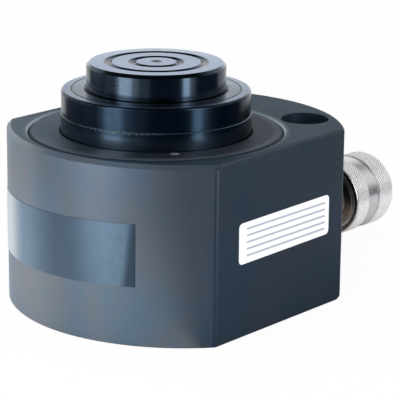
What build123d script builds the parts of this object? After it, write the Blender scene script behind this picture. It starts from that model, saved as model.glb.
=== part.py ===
# Telescopic flat body cylinder: a low hydraulic jack with two nested plungers,
# two flats on its sides, two bolt holes and a screw-on quick coupler half.
# Millimetres. Z is up. The origin is the plunger axis at the base, and +X points
# out of the coupler.

import os
from math import cos, radians, sin

from build123d import *

# Steel body
body_height = 75.0
body_half_width = 58.0
front_arc_radius = 74.0
front_arc_offset = 16.7
back_arc_radius = 73.9
back_arc_offset = 7.9
body_top_chamfer = 0.8
body_base_chamfer = 0.5
front_top_bevel = 1.8
back_base_bevel = 1.5
body_edge_break = 0.5
body_mouth_chamfer = 1.0
body_floor = 15.0
bore_radius = 43.0
bore_floor_fillet = 2.0

# Bolt holes, for two M12 or 1/2 inch socket head screws
bolt_hole_x = 57.6
bolt_hole_spacing = 68.0
bolt_hole_radius = 6.75
bolt_head_radius = 10.3
bolt_head_depth = 13.0

# Fits and small gaps
running_clearance = 0.05
thread_clearance = 0.05
groove_clearance = 0.1
edge_chamfer = 0.4

# Gland ring, the stop for the outer plunger
gland_radius = 53.4
gland_thickness = 14.0
gland_edge_chamfer = 1.4
gland_mouth_chamfer = 0.8
gland_guide_height = 1.2
gland_wiper_height = 6.2
spanner_hole_radius = 2.0
spanner_hole_circle = 42.8
spanner_hole_depth = 3.5
spanner_hole_angle = 231.3

# Outer plunger
outer_radius = 39.75
outer_top = 92.6
outer_step = 82.3
outer_step_depth = 0.3
outer_rim_round = 1.2
outer_rim_inner_chamfer = 0.35
outer_floor_thickness = 12.0
outer_bore_radius = 32.2
outer_head_height = 21.0
outer_head_chamfer = 3.5
outer_seal_height = 8.4
outer_guide_height = 15.9
oil_hole_radius = 4.0
oil_slot_width = 6.0
oil_slot_depth = 1.5

# Stop ring in the mouth of the outer plunger
stop_ring_radius = 35.3
stop_ring_thickness = 10.0
stop_ring_chamfer = 0.35
stop_mouth_chamfer = 1.2
stop_guide_height = 1.2
stop_wiper_height = 5.8

# Inner plunger
inner_radius = 29.0
inner_top = 103.7
inner_top_chamfer = 1.4
inner_head_height = 16.6
inner_head_chamfer = 2.0
inner_seal_height = 3.6
inner_guide_height = 11.4
face_groove_width = 3.4
face_groove_depth = 0.9
wide_groove_radius = 20.1
small_groove_radius = 10.0
centre_mark_width = 5.6
centre_mark_depth = 0.45

# Seals, guide rings and wipers
seal_section = 4.0
seal_width = 4.4
seal_lip_depth = 1.6
backup_width = 1.8
guide_section = 2.0
guide_width = 3.2
wiper_section = 2.4
wiper_width = 2.8

# Oil port and coupler, on the centre plane near the base
port_height = 19.7
port_face_x = 80.6
port_face_radius = 11.5
port_thread_radius = 8.6
port_thread_length = 14.0
passage_radius = 2.5
hex_start_x = 83.8
hex_across_flats = 22.0
hex_length = 10.0
shank_radius = 9.0
coupler_bore_radius = 3.5

# Coupler socket and valve
socket_disc_x = 122.6
socket_disc_radius = 13.7
collar_flange_height = 1.2
collar_flange_length = 4.0
socket_nose_radius = 12.4
socket_face_x = 138.6
valve_chamber_start_x = 116.0
valve_chamber_radius = 6.2
seat_ring_radius = 10.4
seat_ring_length = 7.2
socket_radius = 7.6
socket_depth = 5.0
seat_hole_radius = 3.6
socket_seal_radius = 0.6
poppet_head_radius = 5.7
poppet_head_length = 2.2
poppet_stem_radius = 2.4
spring_wire_radius = 0.5
spring_turns = 4.5

# Knurled collar, held on the socket by a snap ring
collar_radius = 17.5
collar_length = 28.7
collar_back_chamfer = 0.3
collar_front_round = 1.2
band_groove_start = 10.0
band_groove_width = 6.9
band_groove_depth = 0.6
back_recess_radius = 16.7
collar_lip_start = 2.3
collar_lip_length = 4.0
collar_recess_clearance = 0.4
collar_thread_radius = 14.5
collar_thread_length = 10.9
collar_mouth_chamfer = 0.8
snap_groove_depth = 0.9
snap_ring_section = 1.9
snap_ring_width = 1.2
snap_ring_gap_angle = 20.0

# Labels, left bare
side_label_thickness = 0.25
side_label_start_angle = -26.4
side_label_end_angle = 45.0
side_label_height = 25.9
side_label_middle_z = 36.9
side_label_slope = 1.5
flat_label_thickness = 0.2
flat_label_middle_x = 14.0
flat_label_middle_z = 39.9
flat_label_width = 59.5
flat_label_height = 17.1
flat_label_tilt = 0.4
flat_label_corner_radius = 2.0

os.makedirs("parts", exist_ok=True)


def turned(*outline):
    # a body of revolution about Z from (radius, height) points
    return revolve(Plane.XZ * make_face(Polyline(*outline, close=True)), Axis.Z)


def turned_along_x(*outline):
    # the same about the coupler axis, from (x, radius) points
    profile = Plane.XZ * make_face(Polyline(*outline, close=True))
    return Pos(0, 0, port_height) * revolve(profile, Axis.X)


def ring(inner, outer, low, high):
    return turned((inner, low), (outer, low), (outer, high), (inner, high))


def ring_along_x(inner, outer, start, end):
    return turned_along_x((start, inner), (end, inner), (end, outer), (start, outer))


def u_cup(inner, outer, low):
    # a U-shaped seal, open towards the oil below it
    lip = (outer - inner) / 4
    middle = (inner + outer) / 2
    high = low + seal_width
    return turned(
        (inner, low),
        (inner + lip, low),
        (middle, low + seal_lip_depth),
        (outer - lip, low),
        (outer, low),
        (outer, high),
        (inner, high),
    )


def wiper(inner, outer, low):
    # a wiper ring whose lip leans up along the plunger
    high = low + wiper_width
    return turned(
        (inner + 0.6, low),
        (outer, low),
        (outer, high - 0.6),
        (inner + 0.9, high - 0.6),
        (inner + 0.3, high),
        (inner, high),
        (inner, high - 0.7),
        (inner + 0.6, high - 1.4),
    )


def bevel_cut(radius, size, edge_height, inward):
    # what a lathe takes off a round edge; inward is -1 at a top edge and 1 at a base
    return turned(
        (radius - 2 * size, edge_height - inward * size),
        (radius + size, edge_height - inward * size),
        (radius + size, edge_height + 2 * inward * size),
    )


def arc_radius(width, depth):
    # the radius of a round-bottomed groove of this width and depth
    return (width * width / 4 + depth * depth) / (2 * depth)


# Body: a block with two flats and two turned ends about different centres
front_round = Pos(front_arc_offset, 0) * Circle(front_arc_radius)
back_round = Pos(back_arc_offset, 0) * Circle(back_arc_radius)
flats = Rectangle(4 * front_arc_radius, 2 * body_half_width)
body = extrude(front_round & back_round & flats, body_height)
body = chamfer(body.edges().filter_by(Axis.Z), body_edge_break)
body = chamfer(body.edges().group_by(Axis.Z)[-1], body_top_chamfer)
body = chamfer(body.edges().group_by(Axis.Z)[0], body_base_chamfer)
body -= Pos(front_arc_offset, 0) * bevel_cut(front_arc_radius, front_top_bevel, body_height, -1)
body -= Pos(back_arc_offset, 0) * bevel_cut(back_arc_radius, back_base_bevel, 0, 1)

# the bore, and the wider thread above it for the gland ring
gland_seat = body_height - gland_thickness
gland_thread_radius = gland_radius + thread_clearance
bore = Pos(0, 0, body_floor) * Cylinder(
    bore_radius, body_height, align=(Align.CENTER, Align.CENTER, Align.MIN)
)
bore = fillet(bore.edges().group_by(Axis.Z)[0], bore_floor_fillet)
gland_thread = turned(
    (0, gland_seat),
    (gland_thread_radius, gland_seat),
    (gland_thread_radius, body_height - body_mouth_chamfer),
    (gland_thread_radius + body_mouth_chamfer, body_height),
    (0, body_height),
)
body = body - bore - gland_thread

# the two bolt holes, with room for the screw heads
bolt_hole = turned(
    (0, 0),
    (bolt_hole_radius + edge_chamfer, 0),
    (bolt_hole_radius, edge_chamfer),
    (bolt_hole_radius, body_height - bolt_head_depth),
    (bolt_head_radius, body_height - bolt_head_depth),
    (bolt_head_radius, body_height - edge_chamfer),
    (bolt_head_radius + edge_chamfer, body_height),
    (0, body_height),
)
for side in (-1, 1):
    body -= Pos(bolt_hole_x, side * bolt_hole_spacing / 2, 0) * bolt_hole

# the oil port: a spot face, a thread and the passage to the bottom of the bore
port_end_x = port_face_x - port_thread_length
port_hole_radius = port_thread_radius + thread_clearance
body -= turned_along_x(
    (bore_radius - 2, 0),
    (bore_radius - 2, passage_radius),
    (port_end_x - 3, passage_radius),
    (port_end_x, port_hole_radius),
    (port_face_x - edge_chamfer, port_hole_radius),
    (port_face_x, port_hole_radius + edge_chamfer),
    (port_face_x, port_face_radius),
    (port_face_x + 10, port_face_radius),
    (port_face_x + 10, 0),
)
export_step(body, "parts/cylinder_body.step")

# Gland ring: screwed flush into the body over the outer plunger's piston
gland_bore = outer_radius + running_clearance
gland_guide_low = gland_seat + gland_guide_height
gland_wiper_low = gland_seat + gland_wiper_height
gland_guide_groove = outer_radius + guide_section
gland_wiper_groove = outer_radius + wiper_section
gland = turned(
    (gland_bore, gland_seat),
    (gland_radius - edge_chamfer, gland_seat),
    (gland_radius, gland_seat + edge_chamfer),
    (gland_radius, body_height - gland_edge_chamfer),
    (gland_radius - gland_edge_chamfer, body_height),
    (gland_bore + gland_mouth_chamfer, body_height),
    (gland_bore, body_height - gland_mouth_chamfer),
)
gland -= ring(0, gland_guide_groove, gland_guide_low, gland_guide_low + guide_width)
gland -= ring(0, gland_wiper_groove, gland_wiper_low, gland_wiper_low + wiper_width)
for angle in (spanner_hole_angle, spanner_hole_angle - 180):
    hole_x = spanner_hole_circle * cos(radians(angle))
    hole_y = spanner_hole_circle * sin(radians(angle))
    gland -= Pos(hole_x, hole_y, body_height - spanner_hole_depth / 2) * Cylinder(
        spanner_hole_radius, spanner_hole_depth
    )
export_step(gland, "parts/gland_ring.step")

gland_guide = ring(
    outer_radius + running_clearance / 2,
    gland_guide_groove - groove_clearance,
    gland_guide_low + groove_clearance,
    gland_guide_low + guide_width - groove_clearance,
)
export_step(gland_guide, "parts/gland_guide_ring.step")

gland_wiper = wiper(
    outer_radius + running_clearance / 2,
    gland_wiper_groove - groove_clearance,
    gland_wiper_low,
)
export_step(gland_wiper, "parts/gland_wiper.step")

# Outer plunger: a deep cup with a piston head at its foot
outer_head_radius = bore_radius - running_clearance
outer_head_top = body_floor + outer_head_height
inner_floor = body_floor + outer_floor_thickness
stop_seat = outer_top - stop_ring_thickness
stop_thread_radius = stop_ring_radius + thread_clearance
outer_plunger = turned(
    (0, body_floor),
    (outer_head_radius - outer_head_chamfer, body_floor),
    (outer_head_radius, body_floor + outer_head_chamfer),
    (outer_head_radius, outer_head_top - edge_chamfer),
    (outer_head_radius - edge_chamfer, outer_head_top),
    (outer_radius, outer_head_top),
    (outer_radius, outer_step),
    (outer_radius - outer_step_depth, outer_step + outer_step_depth),
    (outer_radius - outer_step_depth, outer_top),
    (stop_thread_radius + outer_rim_inner_chamfer, outer_top),
    (stop_thread_radius, outer_top - outer_rim_inner_chamfer),
    (stop_thread_radius, stop_seat),
    (outer_bore_radius, stop_seat),
    (outer_bore_radius, inner_floor),
    (0, inner_floor),
)
rim_edge = outer_plunger.edges().group_by(Axis.Z)[-1].sort_by(SortBy.RADIUS)[-1]
outer_plunger = fillet(rim_edge, outer_rim_round)

# grooves round the head, and the ways for the oil under and through it
outer_seal_low = body_floor + outer_seal_height
outer_seal_high = outer_seal_low + seal_width + backup_width + groove_clearance
outer_guide_low = body_floor + outer_guide_height
outer_seal_groove = bore_radius - seal_section
outer_guide_groove = bore_radius - guide_section
outer_plunger -= ring(outer_seal_groove, bore_radius + 1, outer_seal_low, outer_seal_high)
outer_plunger -= ring(
    outer_guide_groove, bore_radius + 1, outer_guide_low, outer_guide_low + guide_width
)
outer_plunger -= Pos(0, 0, body_floor) * Cylinder(oil_hole_radius, 4 * outer_floor_thickness)
outer_plunger -= Pos(0, 0, body_floor) * Box(
    3 * bore_radius, oil_slot_width, 2 * oil_slot_depth
)
export_step(outer_plunger, "parts/outer_plunger.step")

outer_seal = u_cup(
    outer_seal_groove + groove_clearance,
    bore_radius - running_clearance / 2,
    outer_seal_low,
)
export_step(outer_seal, "parts/outer_piston_seal.step")

outer_backup = ring(
    outer_seal_groove + groove_clearance,
    bore_radius - running_clearance / 2,
    outer_seal_high - backup_width,
    outer_seal_high,
)
export_step(outer_backup, "parts/outer_piston_backup_ring.step")

outer_guide = ring(
    outer_guide_groove + groove_clearance,
    bore_radius - running_clearance / 2,
    outer_guide_low + groove_clearance,
    outer_guide_low + guide_width - groove_clearance,
)
export_step(outer_guide, "parts/outer_piston_guide_ring.step")

# Stop ring: screwed flush into the outer plunger over the inner one's piston
stop_bore = inner_radius + running_clearance
stop_guide_low = stop_seat + stop_guide_height
stop_wiper_low = stop_seat + stop_wiper_height
stop_guide_groove = inner_radius + guide_section
stop_wiper_groove = inner_radius + wiper_section
stop_ring = turned(
    (stop_bore, stop_seat),
    (stop_ring_radius, stop_seat),
    (stop_ring_radius, outer_top - stop_ring_chamfer),
    (stop_ring_radius - stop_ring_chamfer, outer_top),
    (stop_bore + stop_mouth_chamfer, outer_top),
    (stop_bore, outer_top - stop_mouth_chamfer),
)
stop_ring -= ring(0, stop_guide_groove, stop_guide_low, stop_guide_low + guide_width)
stop_ring -= ring(0, stop_wiper_groove, stop_wiper_low, stop_wiper_low + wiper_width)
export_step(stop_ring, "parts/plunger_stop_ring.step")

stop_guide = ring(
    inner_radius + running_clearance / 2,
    stop_guide_groove - groove_clearance,
    stop_guide_low + groove_clearance,
    stop_guide_low + guide_width - groove_clearance,
)
export_step(stop_guide, "parts/plunger_guide_ring.step")

stop_wiper = wiper(
    inner_radius + running_clearance / 2,
    stop_wiper_groove - groove_clearance,
    stop_wiper_low,
)
export_step(stop_wiper, "parts/plunger_wiper.step")

# Inner plunger: a solid ram with a piston head and a grooved load face
inner_head_radius = outer_bore_radius - running_clearance
inner_head_top = inner_floor + inner_head_height
inner_plunger = turned(
    (0, inner_floor),
    (inner_head_radius - inner_head_chamfer, inner_floor),
    (inner_head_radius, inner_floor + inner_head_chamfer),
    (inner_head_radius, inner_head_top - edge_chamfer),
    (inner_head_radius - edge_chamfer, inner_head_top),
    (inner_radius, inner_head_top),
    (inner_radius, inner_top - inner_top_chamfer),
    (inner_radius - inner_top_chamfer, inner_top),
    (0, inner_top),
)
inner_seal_low = inner_floor + inner_seal_height
inner_seal_high = inner_seal_low + seal_width + backup_width + groove_clearance
inner_guide_low = inner_floor + inner_guide_height
inner_seal_groove = outer_bore_radius - seal_section
inner_guide_groove = outer_bore_radius - guide_section
inner_plunger -= ring(
    inner_seal_groove, outer_bore_radius + 1, inner_seal_low, inner_seal_high
)
inner_plunger -= ring(
    inner_guide_groove, outer_bore_radius + 1, inner_guide_low, inner_guide_low + guide_width
)

# two round-bottomed rings and a shallow centre mark turned into the load face
groove_section = arc_radius(face_groove_width, face_groove_depth)
groove_height = inner_top - face_groove_depth + groove_section
for groove_radius in (wide_groove_radius, small_groove_radius):
    inner_plunger -= Pos(0, 0, groove_height) * Torus(groove_radius, groove_section)
mark_section = arc_radius(centre_mark_width, centre_mark_depth)
mark_height = inner_top - centre_mark_depth + mark_section
inner_plunger -= Pos(0, 0, mark_height) * Sphere(mark_section)
export_step(inner_plunger, "parts/inner_plunger.step")

inner_seal = u_cup(
    inner_seal_groove + groove_clearance,
    outer_bore_radius - running_clearance / 2,
    inner_seal_low,
)
export_step(inner_seal, "parts/inner_piston_seal.step")

inner_backup = ring(
    inner_seal_groove + groove_clearance,
    outer_bore_radius - running_clearance / 2,
    inner_seal_high - backup_width,
    inner_seal_high,
)
export_step(inner_backup, "parts/inner_piston_backup_ring.step")

inner_guide = ring(
    inner_guide_groove + groove_clearance,
    outer_bore_radius - running_clearance / 2,
    inner_guide_low + groove_clearance,
    inner_guide_low + guide_width - groove_clearance,
)
export_step(inner_guide, "parts/inner_piston_guide_ring.step")

# Coupler body: thread, hexagon, long shank and the socket the collar turns on
hex_end_x = hex_start_x + hex_length
collar_lip_end_x = socket_disc_x + collar_lip_start + collar_lip_length
flange_start_x = collar_lip_end_x + 2 * groove_clearance
flange_end_x = flange_start_x + collar_flange_length
snap_groove_end_x = socket_disc_x + collar_lip_start - groove_clearance
snap_groove_start_x = snap_groove_end_x - snap_ring_width - groove_clearance
snap_ring_inner_radius = socket_disc_radius - snap_groove_depth
snap_ring_radius = snap_ring_inner_radius + snap_ring_section
collar_flange_radius = socket_disc_radius + collar_flange_height
seat_ring_x = socket_face_x - seat_ring_length
coupler = turned_along_x(
    (port_end_x + 1, 0),
    (port_end_x + 1, port_thread_radius - 1),
    (port_end_x + 2, port_thread_radius),
    (hex_start_x, port_thread_radius),
    (hex_start_x, shank_radius),
    (socket_disc_x - 0.5, shank_radius),
    (socket_disc_x, shank_radius + 0.5),
    (socket_disc_x, socket_disc_radius - edge_chamfer),
    (socket_disc_x + edge_chamfer, socket_disc_radius),
    (flange_start_x, socket_disc_radius),
    (flange_start_x, collar_flange_radius),
    (flange_end_x, collar_flange_radius),
    (flange_end_x, socket_nose_radius),
    (socket_face_x - edge_chamfer, socket_nose_radius),
    (socket_face_x, socket_nose_radius - edge_chamfer),
    (socket_face_x, 0),
)
hexagon = Plane.YZ * RegularPolygon(hex_across_flats / 2, 6, major_radius=False)
hexagon = Pos(hex_start_x, 0, port_height) * extrude(hexagon, hex_length)
corner_radius = hex_across_flats / 2 / cos(radians(30))
hexagon &= turned_along_x(
    (hex_start_x, 0),
    (hex_start_x, hex_across_flats / 2),
    (hex_start_x + 1, corner_radius),
    (hex_end_x - 1, corner_radius),
    (hex_end_x, hex_across_flats / 2),
    (hex_end_x, 0),
)
coupler += hexagon
coupler -= turned_along_x(
    (port_end_x, 0),
    (port_end_x, coupler_bore_radius),
    (valve_chamber_start_x, coupler_bore_radius),
    (valve_chamber_start_x, valve_chamber_radius),
    (seat_ring_x, valve_chamber_radius),
    (seat_ring_x, seat_ring_radius + thread_clearance),
    (socket_face_x, seat_ring_radius + thread_clearance),
    (socket_face_x, 0),
)
coupler -= ring_along_x(
    snap_ring_inner_radius - groove_clearance,
    socket_disc_radius + 1,
    snap_groove_start_x,
    snap_groove_end_x,
)
export_step(coupler, "parts/coupler_body.step")

# Seat ring: screwed into the socket, it holds the valve seat and the face seal
socket_floor_x = socket_face_x - socket_depth
seal_groove_x = socket_floor_x + socket_depth / 2
seat_ring = turned_along_x(
    (seat_ring_x, seat_hole_radius + 1),
    (seat_ring_x + 1, seat_hole_radius),
    (socket_floor_x, seat_hole_radius),
    (socket_floor_x, socket_radius),
    (socket_face_x, socket_radius),
    (socket_face_x, seat_ring_radius),
    (seat_ring_x, seat_ring_radius),
)
seat_ring -= ring_along_x(
    0,
    socket_radius + 2 * socket_seal_radius + groove_clearance,
    seal_groove_x - socket_seal_radius - groove_clearance,
    seal_groove_x + socket_seal_radius + groove_clearance,
)
export_step(seat_ring, "parts/coupler_seat_ring.step")

seal_centre = Pos(seal_groove_x, socket_radius + socket_seal_radius + groove_clearance / 2)
socket_seal = revolve(Plane.XZ * seal_centre * Circle(socket_seal_radius), Axis.X)
export_step(Pos(0, 0, port_height) * socket_seal, "parts/coupler_socket_seal.step")

# Valve poppet: its nose fills the seat, three flats on its head let the oil past
poppet_head_end_x = seat_ring_x - groove_clearance
poppet_head_start_x = poppet_head_end_x - poppet_head_length
poppet_nose_radius = seat_hole_radius - running_clearance
poppet = turned_along_x(
    (poppet_head_start_x - 5, 0),
    (poppet_head_start_x - 5, poppet_stem_radius),
    (poppet_head_start_x, poppet_stem_radius),
    (poppet_head_start_x, poppet_head_radius),
    (poppet_head_end_x - 0.8, poppet_head_radius),
    (poppet_head_end_x, poppet_head_radius - 0.8),
    (poppet_head_end_x, poppet_nose_radius),
    (socket_floor_x - groove_clearance, poppet_nose_radius),
    (socket_floor_x - groove_clearance, 0),
)
flat_depth = 0.8
for angle in (0, 120, 240):
    flat = Pos(poppet_head_start_x, 0, poppet_head_radius + 5 - flat_depth) * Box(10, 20, 10)
    below_nose = Pos(poppet_head_start_x, 0, 0) * Cylinder(20, 5, rotation=(0, 90, 0))
    poppet -= Pos(0, 0, port_height) * (Rot(angle, 0, 0) * (flat & below_nose))
export_step(poppet, "parts/coupler_poppet.step")

# Valve spring, between the chamber floor and the poppet head
spring_start_x = valve_chamber_start_x + spring_wire_radius + groove_clearance
spring_end_x = poppet_head_start_x - spring_wire_radius - groove_clearance
spring_length = spring_end_x - spring_start_x
spring_radius = (poppet_stem_radius + valve_chamber_radius) / 2
spring_path = Helix(spring_length / spring_turns, spring_length, spring_radius)
spring_end = Plane(origin=spring_path @ 0, z_dir=spring_path % 0)
spring = sweep(spring_end * Circle(spring_wire_radius), path=spring_path)
spring = Pos(spring_start_x, 0, port_height) * (Rot(0, 90, 0) * spring)
export_step(spring, "parts/coupler_spring.step")

# Snap ring: open at one side, it stops the collar sliding back off the socket
snap_ring = ring_along_x(
    snap_ring_inner_radius,
    snap_ring_radius,
    snap_groove_start_x + groove_clearance / 2,
    snap_groove_end_x - groove_clearance / 2,
)
gap_width = 2 * snap_ring_radius * sin(radians(snap_ring_gap_angle / 2))
gap_x = (snap_groove_start_x + snap_groove_end_x) / 2
snap_ring -= Pos(gap_x, 0, port_height - snap_ring_radius) * Box(5, gap_width, 8)
export_step(snap_ring, "parts/collar_snap_ring.step")

# Collar: two bands to be knurled with a plain groove between, thread at the mouth
collar_end_x = socket_disc_x + collar_length
groove_start_x = socket_disc_x + band_groove_start
groove_end_x = groove_start_x + band_groove_width
band_groove_radius = collar_radius - band_groove_depth
lip_start_x = socket_disc_x + collar_lip_start
lip_radius = socket_disc_radius + running_clearance
collar_recess_radius = collar_flange_radius + collar_recess_clearance
thread_end_x = collar_end_x - collar_mouth_chamfer
thread_start_x = thread_end_x - collar_thread_length
collar = turned_along_x(
    (socket_disc_x, back_recess_radius),
    (socket_disc_x, collar_radius - collar_back_chamfer),
    (socket_disc_x + collar_back_chamfer, collar_radius),
    (groove_start_x, collar_radius),
    (groove_start_x, band_groove_radius),
    (groove_end_x, band_groove_radius),
    (groove_end_x, collar_radius),
    (collar_end_x, collar_radius),
    (collar_end_x, collar_thread_radius + collar_mouth_chamfer),
    (thread_end_x, collar_thread_radius),
    (thread_start_x, collar_thread_radius),
    (thread_start_x, collar_recess_radius),
    (collar_lip_end_x, collar_recess_radius),
    (collar_lip_end_x, lip_radius),
    (lip_start_x, lip_radius),
    (lip_start_x, back_recess_radius),
)
front_edge = collar.edges().group_by(Axis.X)[-1].sort_by(SortBy.RADIUS)[-1]
collar = fillet(front_edge, collar_front_round)
export_step(collar, "parts/coupler_collar.step")

# Side label: a thin bare foil wrapped on the front round, a little out of level.
# Its angles are measured round the arc from the foremost point of the body.
def label_edge(height):
    # a line along the wrapped foil, seen from the front, from one end to the other
    points = []
    for step in range(9):
        turn = side_label_start_angle + (side_label_end_angle - side_label_start_angle) * step / 8
        rise = front_arc_radius * radians(turn) * sin(radians(side_label_slope))
        points.append((front_arc_radius * sin(radians(turn)), height - rise))
    return points


low_edge = label_edge(side_label_middle_z - side_label_height / 2)
high_edge = label_edge(side_label_middle_z + side_label_height / 2)
side_outline = make_face(
    Spline(*low_edge)
    + Line(low_edge[-1], high_edge[-1])
    + Spline(*high_edge)
    + Line(high_edge[0], low_edge[0])
)
label_skin = Pos(front_arc_offset, 0) * (
    ring(front_arc_radius, front_arc_radius + side_label_thickness, 0, body_height)
)
side_label = label_skin & extrude(Plane.YZ * side_outline, -2 * front_arc_radius)
export_step(side_label, "parts/side_label.step")

# Flat label: a bare sheet on the flat beside the coupler, a little out of level too
flat_outline = RectangleRounded(flat_label_width, flat_label_height, flat_label_corner_radius)
flat_outline = Rot(0, 0, flat_label_tilt) * flat_outline
flat_label = extrude(Plane.XZ * flat_outline, flat_label_thickness)
flat_label = Pos(flat_label_middle_x, -body_half_width, flat_label_middle_z) * flat_label
export_step(flat_label, "parts/flat_label.step")
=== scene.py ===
from math import cos, pi, radians, sin

import bmesh
import bpy
from mathutils import Matrix, Vector


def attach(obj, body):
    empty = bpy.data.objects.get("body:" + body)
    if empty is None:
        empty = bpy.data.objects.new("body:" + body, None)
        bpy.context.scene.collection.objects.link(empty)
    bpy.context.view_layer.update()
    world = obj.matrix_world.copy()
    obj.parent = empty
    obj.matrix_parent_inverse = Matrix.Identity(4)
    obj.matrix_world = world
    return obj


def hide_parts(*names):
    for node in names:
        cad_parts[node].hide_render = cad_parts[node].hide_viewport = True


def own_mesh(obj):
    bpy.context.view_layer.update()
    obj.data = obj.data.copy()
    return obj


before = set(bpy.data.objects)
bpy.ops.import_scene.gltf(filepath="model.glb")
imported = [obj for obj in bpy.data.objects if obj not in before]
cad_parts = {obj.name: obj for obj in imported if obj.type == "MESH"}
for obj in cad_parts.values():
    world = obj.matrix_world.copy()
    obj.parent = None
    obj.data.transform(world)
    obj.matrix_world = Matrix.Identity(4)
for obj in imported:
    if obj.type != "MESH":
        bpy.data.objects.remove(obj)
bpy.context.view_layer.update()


# The camera: a long lens on a low tripod at the cylinder's left front, with the
# flat that carries the white label to its right. It leans by half a degree.
camera_turn, camera_rise, camera_lean = radians(-50.01), radians(15.6), radians(0.61)
camera_place = Vector((-0.60960, -0.53565, 0.27096))
toward_camera = Vector((
    sin(camera_turn) * cos(camera_rise),
    -cos(camera_turn) * cos(camera_rise),
    sin(camera_rise),
))
level_right = Vector((cos(camera_turn), sin(camera_turn), 0))
level_up = toward_camera.cross(level_right)
right = level_right * cos(camera_lean) + level_up * sin(camera_lean)
up = level_up * cos(camera_lean) - level_right * sin(camera_lean)
camera_data = bpy.data.cameras.new("camera")
camera_data.sensor_width = 36.0
camera_data.lens = 180.0
camera = bpy.data.objects.new("camera", camera_data)
camera.matrix_world = Matrix((right, up, toward_camera)).transposed().to_4x4()
camera.matrix_world.translation = camera_place
bpy.context.collection.objects.link(camera)
bpy.context.scene.camera = camera


# The body: one block of steel with two flats and two turned ends, bored blind from
# the top, drilled and counterbored for two screws, and blackened in a hot salt bath.
# The bath leaves brown and blue clouds on the round ends, under a film of oil.
class Wire:
    """A value, colour or place on its way through a tree of nodes."""

    def __init__(self, tree, socket=None):
        self.tree = tree
        self.socket = socket

    def node(self, kind, settings=None, inputs=None, out=0):
        """Adds a node: its settings first, then its inputs. out picks an output."""
        made = self.tree.nodes.new(kind)
        for name, value in (settings or {}).items():
            setattr(made, name, value)
        for key, value in (inputs or {}).items():
            if isinstance(value, Wire):
                self.tree.links.new(value.socket, made.inputs[key])
            else:
                made.inputs[key].default_value = value
        return Wire(self.tree, made.outputs[out])

    def math(self, operation, *values, clamp=False):
        """A Math node on these values, in their order."""
        settings = {"operation": operation, "use_clamp": clamp}
        return self.node("ShaderNodeMath", settings, dict(enumerate(values)))

    def __add__(self, other):
        return self.math("ADD", self, other)

    def __radd__(self, other):
        return self.math("ADD", other, self)

    def __sub__(self, other):
        return self.math("SUBTRACT", self, other)

    def __rsub__(self, other):
        return self.math("SUBTRACT", other, self)

    def __mul__(self, other):
        return self.math("MULTIPLY", self, other)

    def __rmul__(self, other):
        return self.math("MULTIPLY", other, self)

    def __truediv__(self, other):
        return self.math("DIVIDE", self, other)

    def __gt__(self, other):
        return self.math("GREATER_THAN", self, other)

    def __lt__(self, other):
        return self.math("LESS_THAN", self, other)

    def __abs__(self):
        return self.math("ABSOLUTE", self)

    def root(self):
        return self.math("SQRT", self)

    def sine(self):
        return self.math("SINE", self)

    def clamped(self):
        return self.math("ADD", self, 0.0, clamp=True)

    def ease(self, low, high, to_low=0.0, to_high=1.0):
        """Runs from to_low at low to to_high at high, with soft ends."""
        inputs = {0: self, 1: low, 2: high, 3: to_low, 4: to_high}
        return self.node("ShaderNodeMapRange", {"interpolation_type": "SMOOTHSTEP"}, inputs)

    def axis(self, name):
        return self.node("ShaderNodeSeparateXYZ", None, {0: self}, out="XYZ".index(name))

    def toward(self, direction):
        """How far this place lies in a level direction, given by its x and y."""
        return self.axis("X") * direction[0] + self.axis("Y") * direction[1]

    def stretched(self, x, y, z):
        return self.node("ShaderNodeMapping", None, {0: self, 3: (x, y, z)})

    def clouds(self, scale, detail=2.0, roughness=0.5):
        inputs = {"Vector": self, "Scale": scale, "Detail": detail, "Roughness": roughness}
        return self.node("ShaderNodeTexNoise", None, inputs)

    def tint(self, low, high):
        """A colour from low where this is 0 to high where this is 1."""
        low, high = [end if isinstance(end, Wire) else (*end, 1) for end in (low, high)]
        inputs = {0: self, 6: low, 7: high}
        return self.node("ShaderNodeMix", {"data_type": "RGBA"}, inputs, out=2)

    def bump(self, depth, strength):
        """This height as a surface normal. depth is in metres."""
        inputs = {"Height": self, "Distance": depth, "Strength": strength}
        return self.node("ShaderNodeBump", None, inputs)


def distance(first, second):
    """How far away a point is, from how far away it is along two axes."""
    return (first * first + second * second).root()


def new_finish(name):
    """A material with its shader, and the place on the piece to start from."""
    material = bpy.data.materials.new(name)
    material.use_nodes = True
    tree = material.node_tree
    place = Wire(tree).node("ShaderNodeTexCoord", out="Object")
    return material, tree.nodes["Principled BSDF"], place


def fill_in(shader, **sockets):
    """Sets the shader's sockets, such as Base_Color, to values or wires."""
    for name, value in sockets.items():
        socket = shader.inputs[name.replace("_", " ")]
        if isinstance(value, Wire):
            value.tree.links.new(value.socket, socket)
        elif isinstance(value, tuple):
            socket.default_value = (*value, 1)
        else:
            socket.default_value = value


def paint(node, material):
    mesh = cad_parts[node].data
    mesh.materials.clear()
    mesh.materials.append(material)


body_top, skin = 0.0750, 0.0001
half_width = 0.0580
mouth_radius, mouth_edge = 0.0546, 0.0012
bolt_hole_x, bolt_hole_y, counterbore_radius = 0.0576, 0.0340, 0.0106
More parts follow.
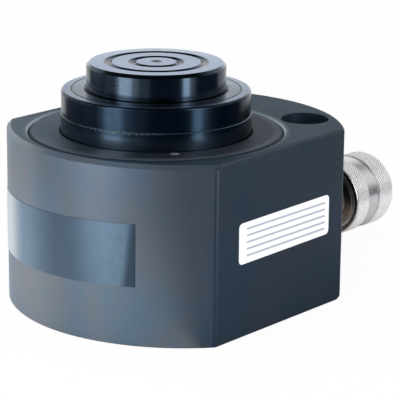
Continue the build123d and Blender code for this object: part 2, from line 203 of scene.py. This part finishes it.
# two level directions: to the front round's left end, and to its corner with the flat
left_end, near_corner = (-0.64, 0.77), (-0.77, -0.64)
oxide_brown = (0.150, 0.162, 0.185)
oxide_blue = (0.110, 0.168, 0.225)
oxide_dark = (0.070, 0.100, 0.135)
black_oxide, shader, place = new_finish("black_oxide_steel")
height, across = place.axis("Z"), abs(place.axis("Y"))
to_left, to_corner = place.toward(left_end), place.toward(near_corner)
clouds = place.stretched(1, 1, 0.6).clouds(32, 3, 0.6)
small_clouds = place.clouds(120, 4, 0.65)
grain = place.clouds(1600, 2, 0.7)
brushed = place.stretched(1, 1, 9).clouds(260, 3, 0.6)
clouded = (clouds * 0.7 + small_clouds * 0.3).ease(0.40, 0.60)
oxide = clouded.tint(oxide_blue, oxide_brown)
shade = (grain * 0.4 + brushed * 0.6).ease(0.3, 0.8)
oxide = (shade * 0.35).tint(oxide, oxide_dark)
# painted light: paler toward the round's left end; painted shade: darker near its top edge
painted_light_left = clouded.tint((0.19, 0.26, 0.33), (0.235, 0.25, 0.275))
oxide = to_left.ease(0.030, 0.054).tint(oxide, painted_light_left)
painted_shade_top = height.ease(0.025, 0.065) * to_left.ease(0.042, 0.054, 1.0, 0.0)
oxide = (painted_shade_top * 0.45).tint(oxide, oxide_dark)
# the machined top, where the oxide is bluer and darker, lighter toward the round's left end
top_face = height > body_top - skin
machined = to_left.ease(0.040, 0.062).tint((0.035, 0.070, 0.115), (0.11, 0.16, 0.21))
oxide = (top_face * 0.9).tint(oxide, machined)
# painted shade: darker inside the counterbores
painted_hole_shade = distance(place.axis("X") - bolt_hole_x, across - bolt_hole_y) < counterbore_radius
oxide = painted_hole_shade.tint(oxide, (0.045, 0.070, 0.105))
# painted highlights: a pale line on the mouth's chamfer, where the steel is also less metallic,
# and a fainter one just outside it
from_axis = distance(place.axis("X"), place.axis("Y"))
painted_mouth_highlight = (from_axis < mouth_radius) * (height < body_top - skin) * (height > body_top - mouth_edge)
painted_rim_highlight = from_axis.ease(mouth_radius, mouth_radius + 0.0020, 0.5, 0.0)
painted_rim_highlight = painted_rim_highlight * to_corner.ease(0.012, 0.040, 1.0, 0.0)
oxide = painted_mouth_highlight.tint(painted_rim_highlight.tint(oxide, (0.20, 0.26, 0.32)), (0.36, 0.44, 0.52))
# painted shade: the ground flats are darker; a line along their corners is darker still
oxide = ((across > half_width - 0.0007) * 0.45).tint(oxide, (0.045, 0.060, 0.080))
corner = (across > half_width - 0.0010) * (across < half_width - 0.00005)
oxide = (corner * 0.3).tint(oxide, (0.03, 0.04, 0.055))
fill_in(
    shader,
    Base_Color=oxide,
    Roughness=0.38 + clouds * 0.12 + grain * 0.06 + top_face * 0.14,
    Metallic=0.88 - painted_mouth_highlight * to_corner.ease(0.034, 0.042, 1.0, 0.0) * 0.22,
    Normal=(grain + brushed).bump(0.00002, 0.5),
)
paint("cylinder_body", black_oxide)


# The gland ring: a turned steel ring, blackened too, and screwed flush into the body by
# its two spanner holes. The lathe tool leaves fine rings on its face. The guide rings of
# cloth and resin, the rubber seals and the plastic backup rings all sit in grooves.
def turning_marks(place, spacing, across="XY", centre=(0, 0)):
    """Fine rings about an axis, from 0 to 1, uneven as a tool cuts them, and the radius."""
    radius = distance(*(place.axis(name) - middle for name, middle in zip(across, centre)))
    rings = (radius * (2 * pi / spacing)).sine()
    wander = radius.node("ShaderNodeTexNoise", {"noise_dimensions": "1D"}, {
        "W": radius * 2600, "Detail": 3.0, "Roughness": 0.7,
    })
    return rings * 0.15 + wander, radius


gland_edge = 0.0522
patch_x, patch_y = -0.0440, -0.0140
spanner_circle, spanner_radius = 0.0428, 0.0021
along_holes, across_holes = (0.6252, 0.7804), (0.7804, -0.6252)
turned_oxide, shader, place = new_finish("turned_black_oxide")
marks, radius = turning_marks(place, 0.0005)
clouds = place.clouds(60, 3, 0.6)
oxide = clouds.ease(0.4, 0.6).tint((0.014, 0.018, 0.026), (0.030, 0.030, 0.036))
# painted reflection: bluer at the left end, with a pale patch; painted shade toward the plunger,
# rising to a painted highlight at the pale outer edge
oxide = place.toward(left_end).ease(0.026, 0.046).tint(oxide, (0.060, 0.090, 0.135))
from_patch = distance(place.axis("X") - patch_x, place.axis("Y") - patch_y)
oxide = from_patch.ease(0.002, 0.011, 0.8, 0.0).tint(oxide, (0.110, 0.125, 0.150))
oxide = radius.ease(0.0485, 0.0502, 0.0, 0.6).tint(oxide, (0.095, 0.108, 0.125))
turned = (marks * 0.4).clamped().tint(oxide, (0.03, 0.05, 0.08))
# paler steel in the two spanner holes
outward, sideways = abs(place.toward(along_holes)) - spanner_circle, place.toward(across_holes)
spanner_hole = distance(outward, sideways) < spanner_radius
spanner_hole = spanner_hole * (place.axis("Z") < body_top - skin)
turned = spanner_hole.tint(turned, (0.20, 0.23, 0.26))
fill_in(
    shader,
    Specular_Tint=(0.80, 0.88, 1.0),
    Specular_IOR_Level=0.33,
    # painted shade: the edge chamfer beyond gland_edge is near black, as the gap to the body
    Base_Color=(radius > gland_edge).tint(turned, (0.008, 0.013, 0.020)),
    Roughness=0.50 + clouds * 0.14,
    Metallic=0.45,
    Normal=marks.bump(0.00002, 0.4),
)
paint("gland_ring", turned_oxide)

guide_cloth, shader, place = new_finish("guide_ring_cloth")
weave = (place.axis("Z") * 9000).sine()
threads = place.clouds(2200, 2, 0.6)
fill_in(
    shader,
    Base_Color=(weave * 0.2 + threads).clamped().tint((0.10, 0.055, 0.03), (0.24, 0.14, 0.08)),
    Roughness=0.55 + threads * 0.2,
    Normal=threads.bump(0.00002, 0.4),
)
rubber, shader, place = new_finish("seal_rubber")
bloom = place.clouds(420, 4, 0.6)
fill_in(
    shader,
    Base_Color=bloom.tint((0.012, 0.012, 0.014), (0.045, 0.044, 0.046)),
    Roughness=0.45 + bloom * 0.25,
    Normal=place.clouds(3000).bump(0.00001, 0.4),
)
backing, shader, place = new_finish("backup_ring_plastic")
mottle = place.clouds(260, 3, 0.6)
fill_in(
    shader,
    Base_Color=mottle.tint((0.62, 0.60, 0.55), (0.80, 0.79, 0.75)),
    Roughness=0.4 + mottle * 0.2,
    Normal=mottle.bump(0.00002, 0.3),
)
for carrier in ("gland", "plunger", "outer_piston", "inner_piston"):
    paint(carrier + "_guide_ring", guide_cloth)
for carrier in ("outer_piston", "inner_piston"):
    paint(carrier + "_backup_ring", backing)
for seal in ("gland_wiper", "plunger_wiper", "outer_piston_seal", "inner_piston_seal"):
    paint(seal, rubber)


# The plungers: ground and blackened steel, glossy with oil. The outer one is a cup
# with a faint step where its sliding part begins, and dirt dried along that step, with
# a painted highlight on the step and painted light on the band below it. A ridged stop
# ring is screwed into its mouth. The inner one's top takes the load.
outer_top, inner_top = 0.0926, 0.1037
step_height, shade_height = 0.0823, 0.0765
ridge_limit, edge_depth = 0.0346, 0.0011
gleam_side, dirt_and_light_side = (-0.26, -0.97), (-0.95, -0.31)
painted_pale_light = (0.46, 0.54, 0.68)


def plunger_finish(name, top, edge_from, side, face, roughness, ridges=0.0, step_dirt_and_light=False):
    """Ground black steel. side and face are pairs of colours, the darker one first, and
    face is for the flat turned end at height top. Its painted edge highlight begins at the
    radius edge_from. ridges is how far apart it is ridged.
    """
    material, shader, place = new_finish(name)
    height = place.axis("Z")
    marks, radius = turning_marks(place, 0.0006)
    on_face = height > top - 0.00008
    wiped = place.stretched(1, 1, 0.15).clouds(120, 3, 0.6)
    ground = place.stretched(1, 1, 16).clouds(80, 5, 0.75)
    colour = (wiped.ease(0.35, 0.7) * 0.5 + ground.ease(0.35, 0.65) * 0.5).tint(*side)
    turned = marks.clamped().tint(*face)
    if ridges:
        ridged = (radius * (2 * pi / ridges)).sine().ease(-0.4, 0.9)
        turned = ridged.tint(turned, side[0])
        turned = (radius > ridge_limit).tint(turned, side[0])
    # painted light: the far half of a face is paler, and the turned edge at its two ends has a
    # painted highlight
    to_corner = place.toward(near_corner)
    painted_far_light = to_corner.ease(-0.026, 0.006, 0.5, 0.0) * radius.ease(0.017, 0.024)
    turned = painted_far_light.tint(turned, painted_pale_light)
    edge = (height > top - edge_depth) * (radius > edge_from)
    edge = edge * to_corner.ease(0.000, 0.012, 0.6, 0.0)
    colour = edge.tint(colour, painted_pale_light)
    colour = on_face.tint(colour, turned)
    roughness = roughness + wiped * 0.06 + ground * 0.08 + on_face * 0.10
    if step_dirt_and_light:
        to_dirt_and_light = place.toward(dirt_and_light_side)
        # painted highlight: a pale gleam along the step toward gleam_side
        step = abs(height - step_height - 0.0001).ease(0.0001, 0.0002, 1.0, 0.0)
        step = step * place.toward(gleam_side).ease(0.000, 0.015)
        near_step = abs(height - step_height).ease(0.0002, 0.0009, 1.0, 0.0)
        specks = place.stretched(1, 1, 1.2).clouds(1500, 3, 0.7).ease(0.52, 0.64)
        dried = near_step * specks * to_dirt_and_light.ease(0.032, 0.038)
        # painted light: the band below the step is lighter toward its left; the dried specks are
        # dirt
        below_step = height.ease(shade_height, step_height, 0.6, 0.0)
        painted_lower_light = to_dirt_and_light.ease(-0.010, 0.025).tint((0.028, 0.045, 0.068), (0.10, 0.14, 0.19))
        colour = below_step.tint(colour, painted_lower_light)
        colour = (step * 0.36).tint(colour, (0.18, 0.28, 0.36))
        colour = (dried * 0.8).tint(colour, (0.28, 0.31, 0.33))
        roughness = roughness + dried * 0.4 + step * 0.2
    fill_in(
        shader,
        Base_Color=colour,
        Roughness=roughness,
        Metallic=1.0,
        Normal=(ground * 0.5 + marks * on_face).bump(0.000012, 0.4),
    )
    return material


paint("outer_plunger", plunger_finish(
    "outer_plunger_steel", outer_top, edge_from=0.0378, roughness=0.14, step_dirt_and_light=True,
    side=((0.010, 0.019, 0.031), (0.021, 0.035, 0.052)),
    face=((0.12, 0.18, 0.28), (0.22, 0.30, 0.42)),
))
paint("plunger_stop_ring", plunger_finish(
    "stop_ring_steel", outer_top, edge_from=0.0360, roughness=0.10, ridges=0.0012,
    side=((0.012, 0.018, 0.026), (0.02, 0.03, 0.04)),
    face=((0.09, 0.14, 0.22), (0.18, 0.26, 0.38)),
))
paint("inner_plunger", plunger_finish(
    "inner_plunger_steel", inner_top, edge_from=0.0270, roughness=0.09,
    side=((0.030, 0.045, 0.063), (0.057, 0.077, 0.098)),
    face=((0.17, 0.25, 0.39), (0.29, 0.38, 0.54)),
))


# The quick coupler: a steel half screwed into the port, with a hexagon for the
# wrench, zinc plated and a little yellowed. Seat ring, poppet, spring and snap ring
# are plain bright steel.
axis_height = 0.0197
plated_steel, shader, place = new_finish("zinc_plated_steel")
stain = place.clouds(160, 4, 0.6)
marks, _ = turning_marks(place, 0.0004, "YZ", (0, axis_height))
plate = stain.ease(0.35, 0.7).tint((0.34, 0.29, 0.25), (0.26, 0.21, 0.17))
# painted shade: the plate is near black above the axis, where the body shades it
painted_shade_above = (place.axis("Z") - axis_height).ease(-0.006, 0.004)
fill_in(
    shader,
    Base_Color=painted_shade_above.tint(plate, (0.10, 0.09, 0.085)),
    Roughness=0.28 + stain * 0.14,
    Metallic=1.0,
    Normal=marks.bump(0.00001, 0.35),
)
bright_steel, shader, place = new_finish("bright_steel")
stain = place.clouds(300, 3, 0.6)
fill_in(
    shader,
    Base_Color=stain.tint((0.50, 0.50, 0.51), (0.66, 0.66, 0.67)),
    Roughness=0.2 + stain * 0.15,
    Metallic=1.0,
    Normal=place.clouds(2500).bump(0.000008, 0.4),
)
paint("coupler_body", plated_steel)
paint("coupler_socket_seal", rubber)
for piece in ("coupler_seat_ring", "coupler_poppet", "coupler_spring", "collar_snap_ring"):
    paint(piece, bright_steel)


def new_piece(name, mesh, material):
    """A mesh as a piece of its own, at the origin."""
    mesh.materials.append(material)
    piece = bpy.data.objects.new(name, mesh)
    bpy.context.collection.objects.link(piece)
    return piece


# the spring as a piece of its own, with its doubled points merged, fixed to the barrel
shell = bmesh.new()
shell.from_mesh(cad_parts["coupler_spring"].data)
bmesh.ops.remove_doubles(shell, verts=shell.verts, dist=0.000001)
spring_mesh = bpy.data.meshes.new("valve_spring")
shell.to_mesh(spring_mesh)
shell.free()
spring = new_piece("valve_spring", spring_mesh, bright_steel)
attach(spring, "barrel")
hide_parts("coupler_spring")
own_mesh(spring)


class Tree:
    """A Geometry Nodes tree on its way to a mesh."""

    def __init__(self, name, sizes):
        self.tree = bpy.data.node_groups.new(name, "GeometryNodeTree")
        interface = self.tree.interface
        self.sizes = {}
        for size, value in sizes.items():
            kind = "NodeSocketInt" if isinstance(value, int) else "NodeSocketFloat"
            made = interface.new_socket(size, in_out="INPUT", socket_type=kind)
            made.default_value = value
            self.sizes[made.identifier] = value
        interface.new_socket("Geometry", in_out="OUTPUT", socket_type="NodeSocketGeometry")
        entry = self.tree.nodes.new("NodeGroupInput")
        self.given = {size: Wire(self.tree, entry.outputs[size]) for size in sizes}

    def node(self, *arguments, **named):
        return Wire(self.tree).node(*arguments, **named)

    def mesh(self, name, geometry, material):
        """Ends the tree, and returns what it makes as a plain mesh object."""
        whole = self.node("GeometryNodeRealizeInstances", None, {0: geometry})
        whole = self.node("GeometryNodeSetMaterial", None, {0: whole, 2: material})
        out = self.tree.nodes.new("NodeGroupOutput")
        self.tree.links.new(whole.socket, out.inputs[0])
        piece = new_piece(name, bpy.data.meshes.new(name), material)
        modifier = piece.modifiers.new("made", "NODES")
        modifier.node_group = self.tree
        for identifier, value in self.sizes.items():
            modifier[identifier] = value
        graph = bpy.context.evaluated_depsgraph_get()
        mesh = bpy.data.meshes.new_from_object(piece.evaluated_get(graph))
        piece.modifiers.clear()
        piece.data = mesh
        mesh.name = name
        return piece


def screw_thread(name, start_x, length, pitch, root, crest, material):
    """One V-shaped ridge wound about the coupler's axis."""
    tree = Tree(name, {
        "Start": start_x, "Length": length, "Pitch": pitch, "Root": root, "Crest": crest,
    })
    given = tree.given
    winding = tree.node("GeometryNodeCurveSpiral", None, {
        "Resolution": 64,
        "Rotations": given["Length"] / given["Pitch"],
        "Start Radius": given["Root"],
        "End Radius": given["Root"],
        "Height": given["Length"],
    })
    ridge = tree.node("GeometryNodeCurvePrimitiveCircle", {"mode": "RADIUS"}, {
        "Resolution": 3, "Radius": abs(given["Crest"] - given["Root"]),
    })
    wound = tree.node("GeometryNodeCurveToMesh", None, {0: winding, 1: ridge, 2: True})
    start = tree.node("ShaderNodeCombineXYZ", None, {0: given["Start"], 2: axis_height})
    laid = tree.node("GeometryNodeTransform", None, {
        0: wound, "Translation": start, "Rotation": (0, pi / 2, 0),
    })
    return tree.mesh(name, laid, material)


port_thread = screw_thread(
    "port_thread", start_x=0.0806, length=0.0032, pitch=0.0014, root=0.00855, crest=0.00885,
    material=plated_steel,
)
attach(port_thread, "barrel")


# The collar: turned from bar and plated bright, with two knurled bands and a plain
# groove between them. It turns on the socket and draws the hose's half in.
collar_start = 0.1226
knurl_height, knurl_tip = 0.00035, 0.00008
band_radius = 0.0175 - knurl_height
groove_radius, back_radius = 0.0169, 0.0167
recess_radius, thread_root, lip_radius = 0.0153, 0.0151, 0.01375
collar_plate, shader, place = new_finish("bright_plated_collar")
stain = place.clouds(220, 4, 0.6)
marks, radius = turning_marks(place, 0.0004, "YZ", (0, axis_height))
above = place.axis("Z") - axis_height
knurled = radius > band_radius + 0.00007
# painted shade: the knurl's plate is darker in a band just above the axis and darker toward the
# top
painted_knurl_shade = abs(above - 0.0035).ease(0.001, 0.0045, 0.78, 1.0)
painted_knurl_shade = painted_knurl_shade * above.ease(0.010, 0.0160, 1.0, 0.70)
# painted shade: near black on the back recess and in the bore
painted_shade_inside = radius < back_radius + 0.00002
# painted reflection: warmer toward the bottom
painted_warm_below = above.ease(-0.017, -0.006, 0.8, 0.0)
plate = stain.tint((0.62, 0.62, 0.63), (0.78, 0.78, 0.78))
plate = knurled.tint(plate, painted_knurl_shade.tint((0.0, 0.0, 0.02), (1.0, 1.0, 1.0)))
plate = painted_warm_below.tint(plate, (0.74, 0.66, 0.60))
fill_in(
    shader,
    Specular_IOR_Level=1.0,
    Base_Color=painted_shade_inside.tint(plate, (0.13, 0.115, 0.105)),
    Roughness=0.20 + stain * 0.12 + knurled * 0.08,
    Metallic=1.0 - knurled * 0.9,
    Normal=(marks * 0.4 + stain).bump(0.00001, 0.4),
)

# along the collar from its back end, outside first and then back through the bore
collar_outline = [
    (0.0000, back_radius), (0.0000, 0.0170), (0.0002, band_radius),
    (0.0098, band_radius), (0.0100, band_radius - 0.0001), (0.01005, groove_radius),
    (0.01685, groove_radius), (0.0169, band_radius - 0.0001), (0.0171, band_radius),
    (0.0275, band_radius), (0.0280, 0.01705), (0.0284, 0.0168), (0.0286, 0.0164),
    (0.0287, 0.0160), (0.0287, 0.0153), (0.0285, thread_root), (0.0170, thread_root),
    (0.0169, recess_radius), (0.0063, recess_radius), (0.0063, lip_radius),
    (0.0023, lip_radius), (0.0023, back_radius),
]


def turned_piece(name, outline, start_x, steps, material):
    """A ring turned about the coupler's axis from a closed outline of (x, radius)."""
    points, faces = [], []
    count = len(outline)
    for step in range(steps):
        angle = 2 * pi * step / steps
        for along, radius in outline:
            points.append((
                start_x + along, radius * sin(angle), axis_height + radius * cos(angle),
            ))
        here, there = step * count, (step + 1) % steps * count
        for corner in range(count):
            after = (corner + 1) % count
            faces.append((here + corner, here + after, there + after, there + corner))
    mesh = bpy.data.meshes.new(name)
    mesh.from_pydata(points, [], faces)
    return new_piece(name, mesh, material)


def knurled_band(name, start_x, rows):
    """Rows of small four-sided points round a band, each row half a step on."""
    tree = Tree(name, {
        "Start": start_x, "Rows": rows, "Round": 96, "Radius": band_radius,
        "Row step": 0.00095, "Height": knurl_height,
    })
    given = tree.given
    index = tree.node("GeometryNodeInputIndex")
    row = index.math("FLOOR", index / given["Round"])
    odd = row.math("MODULO", row, 2.0)
    angle = (index + odd * 0.5) * (2 * pi) / given["Round"]
    place = tree.node("ShaderNodeCombineXYZ", None, {
        0: given["Start"] + row * given["Row step"],
        1: given["Radius"] * angle.sine(),
        2: given["Radius"] * angle.math("COSINE", angle) + axis_height,
    })
    points = tree.node("GeometryNodePoints", None, {
        "Count": given["Round"] * given["Rows"], "Position": place,
    })
    stud = tree.node("GeometryNodeMeshCone", {"fill_type": "NONE"}, {
        "Vertices": 4, "Radius Top": knurl_tip, "Radius Bottom": given["Row step"],
        "Depth": given["Height"],
    })
    width = given["Radius"] * pi / given["Round"] / given["Row step"]
    narrowed = tree.node("GeometryNodeTransform", None, {
        0: stud, "Scale": tree.node("ShaderNodeCombineXYZ", None, {0: 1.0, 1: width, 2: 1.0}),
    })
    turn = tree.node("ShaderNodeCombineXYZ", None, {0: angle * -1.0})
    studs = tree.node("GeometryNodeInstanceOnPoints", None, {
        0: points, "Instance": narrowed, "Rotation": turn,
    })
    return tree.mesh(name, studs, collar_plate)


collar = turned_piece("collar", collar_outline, collar_start, 144, collar_plate)
collar_parts = [
    collar,
    knurled_band("knurl_back", collar_start + 0.0012, 9),
    knurled_band("knurl_front", collar_start + 0.0184, 10),
    screw_thread(
        "collar_thread", collar_start + 0.0174, length=0.0105, pitch=0.0015,
        root=thread_root, crest=0.0146, material=collar_plate,
    ),
]
with bpy.context.temp_override(
    active_object=collar, object=collar, selected_objects=collar_parts,
    selected_editable_objects=collar_parts,
):
    bpy.ops.object.join()
collar.name = collar.data.name = "coupler_collar_knurled"
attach(collar, "collar")
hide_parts("coupler_collar")


# The labels: a glossy dark foil glued to the front round, left bare, and a white one on
# the flat with nothing but even ruled lines.
front_centre, front_radius = 0.0167, 0.074
dark_foil, shader, place = new_finish("dark_foil")
scuff = place.clouds(300, 4, 0.7)
sideways, forward = place.axis("Y"), front_centre - place.axis("X")
along = sideways.math("ARCTAN2", sideways, forward) * -front_radius
tilted = place.axis("Z") - along * 0.026
# painted reflection: the foil is lighter at its left end and in a band near its right end
slanted = along - (tilted - 0.037) * 0.12
sheen = along.ease(-0.030, 0.000, 1.0, 0.22) + along.ease(0.004, 0.024, 0.0, 0.32)
sheen = sheen * slanted.ease(0.0285, 0.0325, 1.0, 0.06) * scuff.ease(0.2, 0.9, 0.85, 1.1)
foil = sheen.clamped().tint((0.03, 0.05, 0.075), (0.19, 0.28, 0.37))
fill_in(
    shader,
    Base_Color=along.ease(-0.044, -0.026, 1.0, 0.0).tint(foil, (0.62, 0.66, 0.70)),
    Roughness=0.30 + scuff * 0.15,
    Metallic=0.85,
    Normal=place.clouds(120).bump(0.00004, 0.3),
)
paint("side_label", dark_foil)

line_heights, half_line = (0.0343, 0.0371, 0.0399, 0.0427, 0.0455), 0.00045
line_start, line_end = -0.011, 0.041
white_foil, shader, place = new_finish("white_foil")
speckle = place.clouds(700, 3, 0.6)
across, height = place.axis("X"), place.axis("Z")
inset = (across > line_start) * (across < line_end)
ruled = 0.0
for line_height in line_heights:
    ruled = (abs(height - line_height) < half_line) * inset + ruled
paper = speckle.tint((0.88, 0.90, 0.93), (0.93, 0.94, 0.96))
fill_in(
    shader,
    Base_Color=ruled.clamped().tint(paper, (0.42, 0.44, 0.50)),
    Roughness=0.32 + speckle * 0.15,
    Normal=speckle.bump(0.00001, 0.3),
)
paint("flat_label", white_foil)


# The studio: a pale floor under a white backdrop, soft panels standing on the floor at
# each side of the camera, and a dark card under the cylinder that only its reflections
# show, so that the polished steel has dark sides between the panels.
scene = bpy.context.scene
scene.view_settings.view_transform = "Standard"
camera_side = Vector((toward_camera.x, toward_camera.y, 0)).normalized()


def turned_away(degrees):
    """A level direction, turned from the camera's side to its right."""
    return camera_side * cos(radians(degrees)) + level_right * sin(radians(degrees))


def flat_sheet(name, outline, height, material):
    mesh = bpy.data.meshes.new(name)
    mesh.from_pydata([(x, y, height) for x, y in outline], [], [range(len(outline))])
    sheet = new_piece(name, mesh, material)
    return sheet


pale, shader, _ = new_finish("pale_floor")
fill_in(shader, Base_Color=(0.80, 0.80, 0.81), Roughness=0.9)
lit = Wire(pale.node_tree, shader.outputs[0])
seen = lit.node("ShaderNodeLightPath", out="Is Camera Ray")
glow = lit.node("ShaderNodeEmission", None, {"Color": (1, 1, 1, 1), "Strength": 1.0})
mixed = lit.node("ShaderNodeMixShader", None, {0: seen * 0.95, 1: lit, 2: glow})
pale.node_tree.links.new(mixed.socket, pale.node_tree.nodes["Material Output"].inputs[0])
flat_sheet("floor", [(-4, -4), (4, -4), (4, 4), (-4, 4)], -0.0002, pale)

card, shader, _ = new_finish("dark_card")
fill_in(shader, Base_Color=(0.03, 0.068, 0.155), Roughness=0.9)
card_outline = [(turned_away(degrees) * 1.6).xy for degrees in range(-135, 125, 5)]
for degrees, reach in (
    (120, 0.30), (106, 0.30), (105, 0.06), (20, 0.06), (0, 0.14), (-15, 0.24), (-60, 0.28),
    (-95, 0.28), (-135, 0.30),
):
    card_outline.append((turned_away(degrees) * reach).xy)
dark_card = flat_sheet("dark_card", card_outline, 0.0001, card)
dark_card.visible_camera = False
dark_card.visible_diffuse = False
dark_card.visible_shadow = False

world = bpy.data.worlds.new("studio")
world.use_nodes = True
scene.world = world
tree = world.node_tree
seen = Wire(tree).node("ShaderNodeLightPath", out="Is Camera Ray")
mirrored = Wire(tree).node("ShaderNodeLightPath", out="Is Glossy Ray")
look = Wire(tree).node("ShaderNodeTexCoord", out="Generated")
behind, beside = look.toward(-camera_side.xy), look.toward(level_right.xy)
overhead = look.axis("Z").ease(0.5, 0.8)
wall = behind.ease(0.58, 0.82)
window = beside.ease(0.35, 0.7) * look.axis("Z").ease(0.05, 0.35)
room = 0.02 + behind.ease(-0.3, 0.5) * 0.20 + window * 0.7
mirror_light = (wall + room * (1.0 - wall)) * (1.0 - overhead) + overhead * 0.04
soft_light = 0.84
level = mirrored * mirror_light + (1.0 - mirrored) * soft_light
level = seen + (1.0 - seen) * level
backdrop = tree.nodes["Background"]
backdrop.inputs["Color"].default_value = (1.0, 1.0, 1.0, 1)
tree.links.new(level.socket, backdrop.inputs["Strength"])

# each panel's turn from the camera's side in degrees, its distance, width and height in
# metres, and how brightly it glows
for name, degrees, distance_out, width, height, brightness in (
    ("left_panel", -48.5, 0.31, 0.115, 0.50, 3.35),
    ("left_panel_soft", -46, 0.32, 0.22, 0.50, 0.8),
    ("left_panel_wide", -36, 0.33, 0.34, 0.50, 0.42),
    ("left_panel_dim", -72, 0.34, 0.20, 0.50, 0.22),
    ("left_wall", -108, 0.50, 0.56, 0.50, 0.65),
    ("right_panel", 49.5, 0.33, 0.062, 0.45, 4.8),
    ("right_panel_soft", 54, 0.35, 0.15, 0.45, 0.65),
):
    data = bpy.data.lights.new(name, "AREA")
    data.shape = "RECTANGLE"
    data.size, data.size_y = width, height
    data.energy = brightness * pi * width * height
    data.color = (0.95, 0.98, 1.0)
    side = turned_away(degrees)
    light = bpy.data.objects.new(name, data)
    light.location = side * distance_out + Vector((0, 0, height / 2))
    light.rotation_euler = side.to_track_quat("Z", "Y").to_euler()
    light.visible_camera = False
    bpy.context.collection.objects.link(light)
